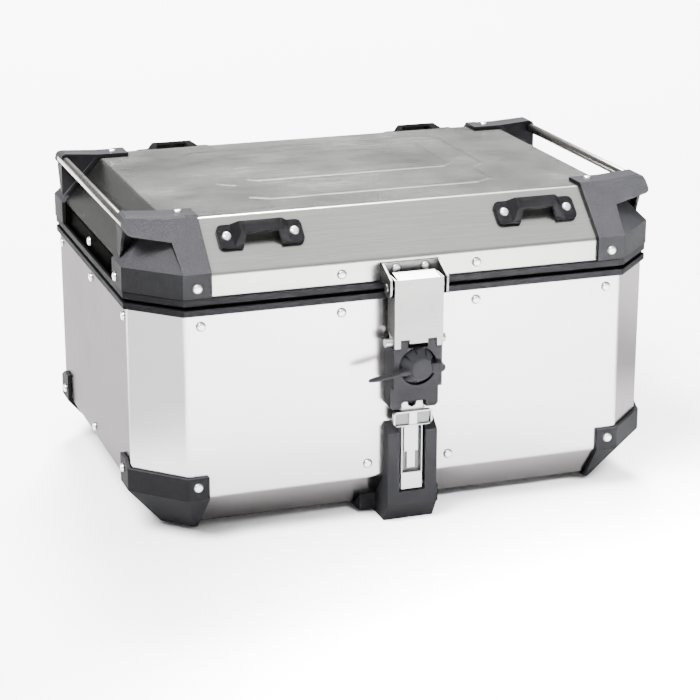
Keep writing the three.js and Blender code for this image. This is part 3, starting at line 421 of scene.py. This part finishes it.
def rivets(name, body, heads, radius=0.0047, height=0.0024):
    """Rivet heads as one piece; heads is a list of (point on the sheet, outward direction)."""
    bm = bmesh.new()
    # Painted shade: marks the head's lowest ring for dark colour.
    foot_shade = bm.verts.layers.float.new("foot_shade")
    for point, axis in heads:
        profile = [(r * radius, h * height) for r, h in RIVET_PROFILE + RIVET_FLANGE]
        profile += [(radius * RIVET_FOOT, -RIVET_SUNK), (0.0, -RIVET_SUNK)]
        base, outward = Vector(point), Vector(axis).normalized()
        start = len(bm.verts)
        lathe(bm, profile, base, outward)
        bm.verts.ensure_lookup_table()
        for vert in bm.verts[start:]:
            level = (vert.co - base).dot(outward) / height
            vert[foot_shade] = 1.0 if level < FOOT_SHADE_LEVEL else 0.0
    bmesh.ops.recalc_face_normals(bm, faces=bm.faces)
    obj = new_object(name, bm, body, "rivet_metal")
    obj.data.polygons.foreach_set("use_smooth", [True] * len(obj.data.polygons))
    return obj


for node in [n for n in frame["nodes"] if n.startswith("rivet_")]:
    low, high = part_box(node)
    centre, size = (low + high) / 2, high - low
    if size.x < size.y:
        outward = math.copysign(1, centre.x)
        seat = Vector((centre.x - outward * size.x / 2, centre.y, centre.z))
        head = rivets(node + "_head", NODE_BODY[node], [(seat, (outward, 0, 0))], size.y / 2, size.x)
    else:
        seat = Vector((centre.x, high.y, centre.z))
        head = rivets(node + "_head", NODE_BODY[node], [(seat, (0, -1, 0))], size.x / 2, size.y)
    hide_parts(node)

TUB_ROW_Z, TUB_LOW_Z, BAND_Z = 0.229, 0.0596, 0.268  # heights of the tub's two rows and the lid band's row
for place, flip in (("left", -1), ("right", 1)):
    out = (flip, 0, 0)
    tub = [((flip * SIDE, y, TUB_ROW_Z), out) for y in (-0.146, 0.0, 0.147)]
    rivets(f"rivets_tub_side_{place}", "case", [*tub, ((flip * SIDE, 0.008, TUB_LOW_Z), out)])
    rivets(f"rivets_lid_side_{place}", "lid", [((flip * SIDE, 0.0, BAND_Z), out)])
back = (0, 1, 0)
rivets("rivets_tub_rear", "case", [((x, REAR, TUB_ROW_Z), back) for x in (-0.2169, -0.072, 0.072, 0.2169)])
rivets("rivets_lid_rear", "lid", [((x, REAR, BAND_Z), back) for x in (-0.0718, 0.0718)])

SKIN = 0.004  # thickness of the corner pieces over the sheet
for place, sx, sy in (("front_left", -1, -1), ("front_right", 1, -1), ("rear_left", -1, 1), ("rear_right", 1, 1)):
    guard_heads = [((sx * 0.2238, sy * (REAR + SKIN), 0.0624), (0, sy, 0))]
    corner_heads = [
        ((sx * 0.2204, sy * (REAR + SKIN), 0.2683), (0, sy, 0)),
        ((sx * 0.2215, sy * 0.142, 0.3290), (0, 0, 1)),
    ]
    if sy > 0:
        guard_heads.append(((sx * (SIDE + SKIN), 0.142, 0.0600), (sx, 0, 0)))
    else:
        corner_heads.append(((sx * (SIDE + SKIN), -0.1317, 0.2660), (sx, 0, 0)))
    rivets(f"rivets_corner_guard_{place}", "case", guard_heads)
    rivets(f"rivets_lid_corner_{place}", "lid", corner_heads)
    heads = []
    loop_up = LOOP_UP_FRONT if sy < 0 else LOOP_UP_REAR
    for side in (-1, 1):
        spot = Vector((sx * LOOP_X + side * LOOP_RIVET, FRONT, BAND_TOP)) + SLOPE_UP * loop_up
        spot += SLOPE_OUT * LOOP_PLATE
        heads.append((Vector((spot.x, spot.y * -sy, spot.z)), Vector((0, SLOPE_OUT.y * -sy, SLOPE_OUT.z))))
    rivets(f"rivets_tie_down_loop_{place}", "lid", heads)

# ---------------------------------------------------------------- pressed panels of the lid's top
# Two shallow raised panels, one on the other: (outline in x and y on the right half, foot height, top height).
PRESS_WALL = 0.004  # width of a panel's sloping border
PRESS_SUNK = 0.0003  # how far a panel's underside lies below its foot
PRESS_FOLD = math.radians(4)  # edges that bend more than this are rounded
PRESS_RADIUS = 0.0016
PRESSED = {
    "lid_pressed_panel_outer": ([(0.114, -0.108), (0.134, -0.094), (0.134, -0.043), (0.152, -0.029),
                                 (0.152, 0.110), (0.136, 0.124)], 0.0, 0.0003),
    "lid_pressed_panel_inner": ([(0.106, -0.030), (0.116, -0.020), (0.116, 0.088), (0.104, 0.100)],
                                0.0003, 0.0006),
}


def inset(outline, distance):
    """The closed outline moved inwards, corner by corner."""
    moved = []
    for i, corner in enumerate(outline):
        before = (Vector(corner) - Vector(outline[i - 1])).normalized()
        after = (Vector(outline[(i + 1) % len(outline)]) - Vector(corner)).normalized()
        normal = Vector((-before.y, before.x)) + Vector((-after.y, after.x))
        normal /= 1 + before.dot(after)
        moved.append(Vector(corner) + normal * distance)
    return moved


for name, (half, low, high) in PRESSED.items():
    outline = half + [(-x, y) for x, y in reversed(half)]
    bm = bmesh.new()
    rings = []
    for points, level in ((outline, low - PRESS_SUNK), (outline, low), (inset(outline, PRESS_WALL), high)):
        rings.append([bm.verts.new((p[0], p[1], LID_TOP + level)) for p in points])
    for lower, upper in zip(rings, rings[1:]):
        for i in range(len(outline)):
            j = (i + 1) % len(outline)
            bm.faces.new([lower[i], lower[j], upper[j], upper[i]])
    bm.faces.new(rings[-1])
    bm.faces.new(list(reversed(rings[0])))
    bmesh.ops.recalc_face_normals(bm, faces=bm.faces)
    weight = bm.edges.layers.float.new("bevel_weight_edge")
    for edge in bm.edges:
        edge[weight] = 1.0 if edge.calc_face_angle(0) > PRESS_FOLD else 0.0
    panel = new_object(name, bm, "lid", "lid_shell")
    rounded_edges(panel, PRESS_RADIUS, 3)

# ---------------------------------------------------------------- webbing stays
STAY_OPEN = math.radians(95)  # the lid's opening, at which the strap is straight
STAY_STEPS, STAY_COLUMNS = 48, 6
STAY_THICK = 0.0011


def stay(place, flip):
    """A flat strap in the shape it takes folded inside the closed case, worked out from the straight strap at the
    lid's full opening; it is one fixed shape, not tied to the lid.
    """
    low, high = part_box(f"lid_stay_{place}")
    start, end = Vector((0, low.y + 0.001, low.z + 0.0006)), Vector((0, low.y + 0.001, high.z - 0.0006))
    pivot = Vector((0, HINGE.y, HINGE.z))

    def about_hinge(point, angle):
        return pivot + Matrix.Rotation(-angle, 3, "X") @ (point - pivot)

    opened = about_hinge(end, STAY_OPEN)
    rows = []
    for i in range(STAY_STEPS + 1):
        straight = start.lerp(opened, i / STAY_STEPS)
        lower, upper = 0.0, 1.0
        for _ in range(40):  # halves the range of w, the share of the lid's turn that this row takes
            w = (lower + upper) / 2
            t = min(1, max(0, (about_hinge(straight, -w * STAY_OPEN).z - start.z) / (end.z - start.z)))
            if t * t * (3 - 2 * t) > w:
                lower = w
            else:
                upper = w
        rows.append(about_hinge(straight, -w * STAY_OPEN))
    bm = bmesh.new()
    across = [low.x + (high.x - low.x) * k / STAY_COLUMNS for k in range(STAY_COLUMNS + 1)]
    grid = [[bm.verts.new((x, p.y, p.z)) for x in across] for p in rows]
    for a, b in zip(grid, grid[1:]):
        for k in range(STAY_COLUMNS):
            bm.faces.new([a[k], a[k + 1], b[k + 1], b[k]])
    bmesh.ops.solidify(bm, geom=bm.faces[:], thickness=STAY_THICK)
    mesh = bpy.data.meshes.new(f"lid_stay_{place}_strap")
    bm.to_mesh(mesh)
    bm.free()
    obj = bpy.data.objects.new(mesh.name, mesh)
    bpy.context.scene.collection.objects.link(obj)
    mesh.materials.append(MATERIALS["stay_webbing"])
    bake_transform(obj)
    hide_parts(f"lid_stay_{place}")


stay("left", -1)
stay("right", 1)

# ---------------------------------------------------------------- floor, light, camera
FLOOR_HALF = 30.0  # half the floor's side


def floor_material():
    """Pale floor with a grey mat on each side, outside the picture, for the corner faces to mirror."""
    g = Graph("studio_floor")
    cloud = g.noise(1.2, (1, 1, 1), 3, 0.5)
    body = g.tint(g.span(cloud, 0, 1), (0.86, 0.86, 0.86), (0.88, 0.88, 0.88))
    axes = g.add("ShaderNodeSeparateXYZ", {0: g.place}).outputs
    beside = g.math("MAXIMUM", g.span(axes["X"], 1, 0, -0.58, -0.46), g.span(axes["X"], 0, 1, 0.50, 0.62))
    along = g.math("MULTIPLY", g.span(axes["Y"], 0, 1, -0.75, -0.50), g.span(axes["Y"], 1, 0, 0.02, 0.16))
    tone = g.math("SUBTRACT", 1.0, g.math("MULTIPLY", g.math("MULTIPLY", beside, along), 0.6))
    return g.shade(Base_Color=g.darkened(body, tone), Roughness=0.85, Specular_IOR_Level=0.1)


floor_mesh = bpy.data.meshes.new("studio_floor")
floor_mesh.from_pydata(
    [(x * FLOOR_HALF, y * FLOOR_HALF, 0) for x, y in ((-1, -1), (1, -1), (1, 1), (-1, 1))], [], [(0, 1, 2, 3)])
floor_mesh.materials.append(floor_material())
floor = bpy.data.objects.new("studio_floor", floor_mesh)
bpy.context.scene.collection.objects.link(floor)

# Soft studio surroundings: a base level and broad patches of light, each (direction, half width in
# degrees, softness in degrees, strength).
WORLD_BASE = 0.19
PATCHES = [
    ((0.25, -0.15, 0.96), 22, 30, 2.8),
    ((0.31, 0.72, 0.62), 7, 7, 18.0),
    ((0.20, -0.97, 0.05), 20, 30, 1.4),
    ((-0.32, 0.90, 0.30), 8, 14, 0.35),
]


def build_world():
    world = bpy.data.worlds.new("studio")
    bpy.context.scene.world = world
    world.use_nodes = True
    tree = world.node_tree
    place = tree.nodes.new("ShaderNodeTexCoord").outputs["Generated"]
    total = None
    for direction, half, soft, strength in PATCHES:
        dot = tree.nodes.new("ShaderNodeVectorMath")
        dot.operation = "DOT_PRODUCT"
        tree.links.new(place, dot.inputs[0])
        dot.inputs[1].default_value = Vector(direction).normalized()
        fade = tree.nodes.new("ShaderNodeMapRange")
        fade.interpolation_type = "SMOOTHSTEP"
        tree.links.new(dot.outputs["Value"], fade.inputs[0])
        fade.inputs[1].default_value = math.cos(math.radians(half + soft))
        fade.inputs[2].default_value = math.cos(math.radians(half))
        fade.inputs[3].default_value = 0.0
        fade.inputs[4].default_value = strength
        add = tree.nodes.new("ShaderNodeMath")
        add.operation = "ADD"
        tree.links.new(fade.outputs[0], add.inputs[0])
        if total is None:
            add.inputs[1].default_value = WORLD_BASE
        else:
            tree.links.new(total, add.inputs[1])
        total = add.outputs[0]
    background = tree.nodes["Background"]
    tree.links.new(total, background.inputs["Strength"])
    background.inputs["Color"].default_value = (1, 1, 1, 1)


build_world()

LAMPS = {  # position, size, power in watts, spread in degrees, point it is aimed at
    "key_softbox": ((-2.6, -1.6, 4.6), 2.6, 1600.0, 180.0, (0.0, 0.0, 0.15)),
    "front_pool": ((0.30, -1.25, 0.75), 0.7, 430.0, 72.0, (0.28, -1.08, 0.0)),
    "back_pool": ((0.9, 3.9, 5.2), 2.0, 2300.0, 180.0, (0.9, 3.8, 0.0)),
}
for name, (position, size, power, spread, target) in LAMPS.items():
    lamp = bpy.data.lights.new(name, "AREA")
    lamp.shape = "DISK"
    lamp.size = size
    lamp.energy = power
    lamp.spread = math.radians(spread)
    holder = bpy.data.objects.new(name, lamp)
    holder.location = position
    holder.rotation_euler = (Vector(position) - Vector(target)).to_track_quat("Z", "Y").to_euler()
    bpy.context.scene.collection.objects.link(holder)

CAMERA_POSITION = (-0.7315, -2.1362, 0.8545)
CAMERA_AZIMUTH, CAMERA_ELEVATION, CAMERA_ROLL = -19.088, 18.047, 0.067  # degrees
LENS, SENSOR = 110.4, 36.0  # millimetres
camera_data = bpy.data.cameras.new("camera")
camera_data.lens = LENS
camera_data.sensor_width = SENSOR
camera_data.clip_start = 0.05
camera_data.clip_end = 60.0
camera = bpy.data.objects.new("camera", camera_data)
bpy.context.scene.collection.objects.link(camera)
azimuth, elevation = math.radians(CAMERA_AZIMUTH), math.radians(CAMERA_ELEVATION)
backwards = Vector((math.sin(azimuth) * math.cos(elevation), -math.cos(azimuth) * math.cos(elevation),
                    math.sin(elevation)))
aim = backwards.to_track_quat("Z", "Y").to_matrix() @ Matrix.Rotation(math.radians(CAMERA_ROLL), 3, "Z")
camera.matrix_world = Matrix.Translation(CAMERA_POSITION) @ aim.to_4x4()
bpy.context.scene.camera = camera
